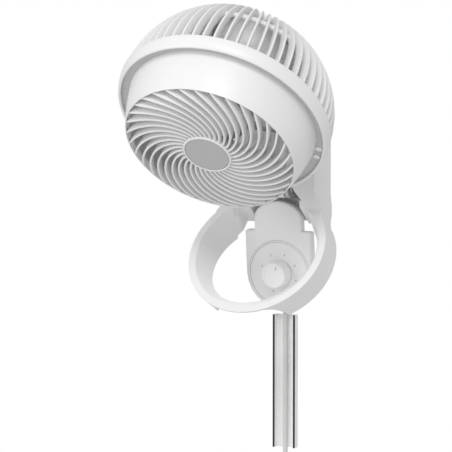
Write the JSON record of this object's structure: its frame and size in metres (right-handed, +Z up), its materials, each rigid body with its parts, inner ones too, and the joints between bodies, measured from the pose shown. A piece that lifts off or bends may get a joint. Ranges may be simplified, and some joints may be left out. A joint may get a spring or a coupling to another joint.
{
  "type": "wall mounted fan",
  "caption": "Wall mounted air circulator: round caged head on a tilting stem, spiral front grille, bracket ending in a slanted hoop around a dial, and a cord in a wall channel.",
  "frame": {"origin": "centre line of the bracket on the wall plane, on the back face of the wall plate", "axes": "+Y into the wall, the fan faces -Y, +Z up, +X to the viewer's right"},
  "size_m": [0.24, 0.2688, 0.6651],
  "materials": {
    "white_plastic": "satin",
    "pod_plastic": "satin",
    "grey_plastic": "satin",
    "black_plastic": "matt",
    "black_rubber": "matt",
    "cord_sheath": "satin",
    "steel": "brushed",
    "copper_winding": "wound wire"
  },
  "bodies": {
    "bracket": {"bracket_shell": "white_plastic", "wall_plate": "steel", "anchor_screw_1": "steel", "anchor_screw_2": "steel", "tilt_yoke": "grey_plastic", "friction_washer_left": "black_rubber", "friction_washer_right": "black_rubber", "tilt_pin": "steel", "tilt_pin_nut": "steel", "pod_front_shell": "pod_plastic", "pod_rear_shell": "pod_plastic", "dial_ring": "pod_plastic", "dial_plate": "pod_plastic", "rotary_switch": "black_plastic", "start_capacitor": "black_plastic", "terminal_block": "grey_plastic", "cord_channel": "white_plastic", "edge_strip_left": "black_plastic", "edge_strip_right": "black_plastic", "strain_relief": "cord_sheath", "power_cord": "cord_sheath", "cord_coil": "cord_sheath", "coil_tie": "black_rubber", "plug_body": "cord_sheath", "plug_pin_left": "steel", "plug_pin_right": "steel"},
    "head": {"head_stem": "white_plastic", "saddle_screw_1": "steel", "saddle_screw_2": "steel", "outer_band": "white_plastic", "rear_grille": "white_plastic", "rear_cap": "white_plastic", "motor_bracket": "grey_plastic", "motor_can": "white_plastic", "motor_stator": "copper_winding", "motor_front_plate": "steel", "duct_cone": "white_plastic", "groove_clip_1": "white_plastic", "groove_clip_2": "white_plastic", "front_grille": "white_plastic", "hub_disc": "grey_plastic"},
    "impeller": {"impeller": "pod_plastic", "impeller_nut": "pod_plastic", "motor_rotor": "steel"},
    "knob": {"control_knob": "pod_plastic", "knob_pointer": "grey_plastic"}
  },
  "joints": [
    {"name": "head_tilt", "type": "hinge", "parent": "bracket", "child": "head", "pos_m": [0, -0.03, -0.024], "axis": [1, 0, 0], "range_deg": [0, 35]},
    {"name": "impeller_spin", "type": "hinge", "parent": "head", "child": "impeller", "pos_m": [0, -0.162, 0.07], "axis": [0, -0.7169, -0.6972], "continuous": true},
    {"name": "knob_turn", "type": "hinge", "parent": "bracket", "child": "knob", "pos_m": [0, -0.0222, -0.1209], "axis": [0, -0.9966, -0.0819], "range_deg": [-135, 180]}
  ]
}
